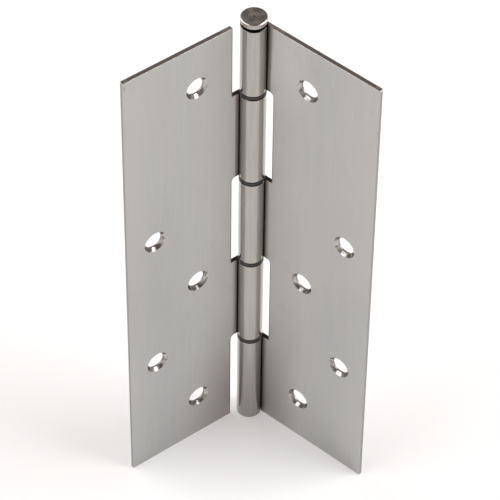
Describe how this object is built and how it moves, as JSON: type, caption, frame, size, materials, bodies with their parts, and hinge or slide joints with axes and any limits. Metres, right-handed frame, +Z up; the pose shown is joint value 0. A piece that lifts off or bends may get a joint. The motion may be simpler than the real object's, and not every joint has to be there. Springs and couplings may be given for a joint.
{
  "type": "continuous hinge",
  "caption": "Brushed steel hinge with two broad countersunk leaves, rolled knuckles along their whole length, dark thrust washers and a flat headed pin.",
  "frame": {"origin": "on the pin's axis, at the lower end of pin, knuckles and leaves", "axes": "+Z up the pin to its head; +X from the pin to the outer edge of the fixed leaf; -Y out of that leaf's countersunk front face"},
  "size_m": [0.074, 0.0602, 0.2236],
  "materials": {
    "leaf_steel": "brushed along the pin",
    "pin_steel": "turned",
    "washer_plastic": "satin moulded"
  },
  "bodies": {
    "fixed": {"fixed_leaf": "leaf_steel", "hinge_pin": "pin_steel", "bearing_washer_1": "washer_plastic", "bearing_washer_2": "washer_plastic", "bearing_washer_3": "washer_plastic", "bearing_washer_4": "washer_plastic"},
    "moving": {"moving_leaf": "leaf_steel"}
  },
  "joints": [
    {"name": "leaf_swing", "type": "hinge", "parent": "fixed", "child": "moving", "pos_m": [0, 0, 0], "axis": [0, 0, 1], "range_deg": [-167, 103]}
  ]
}
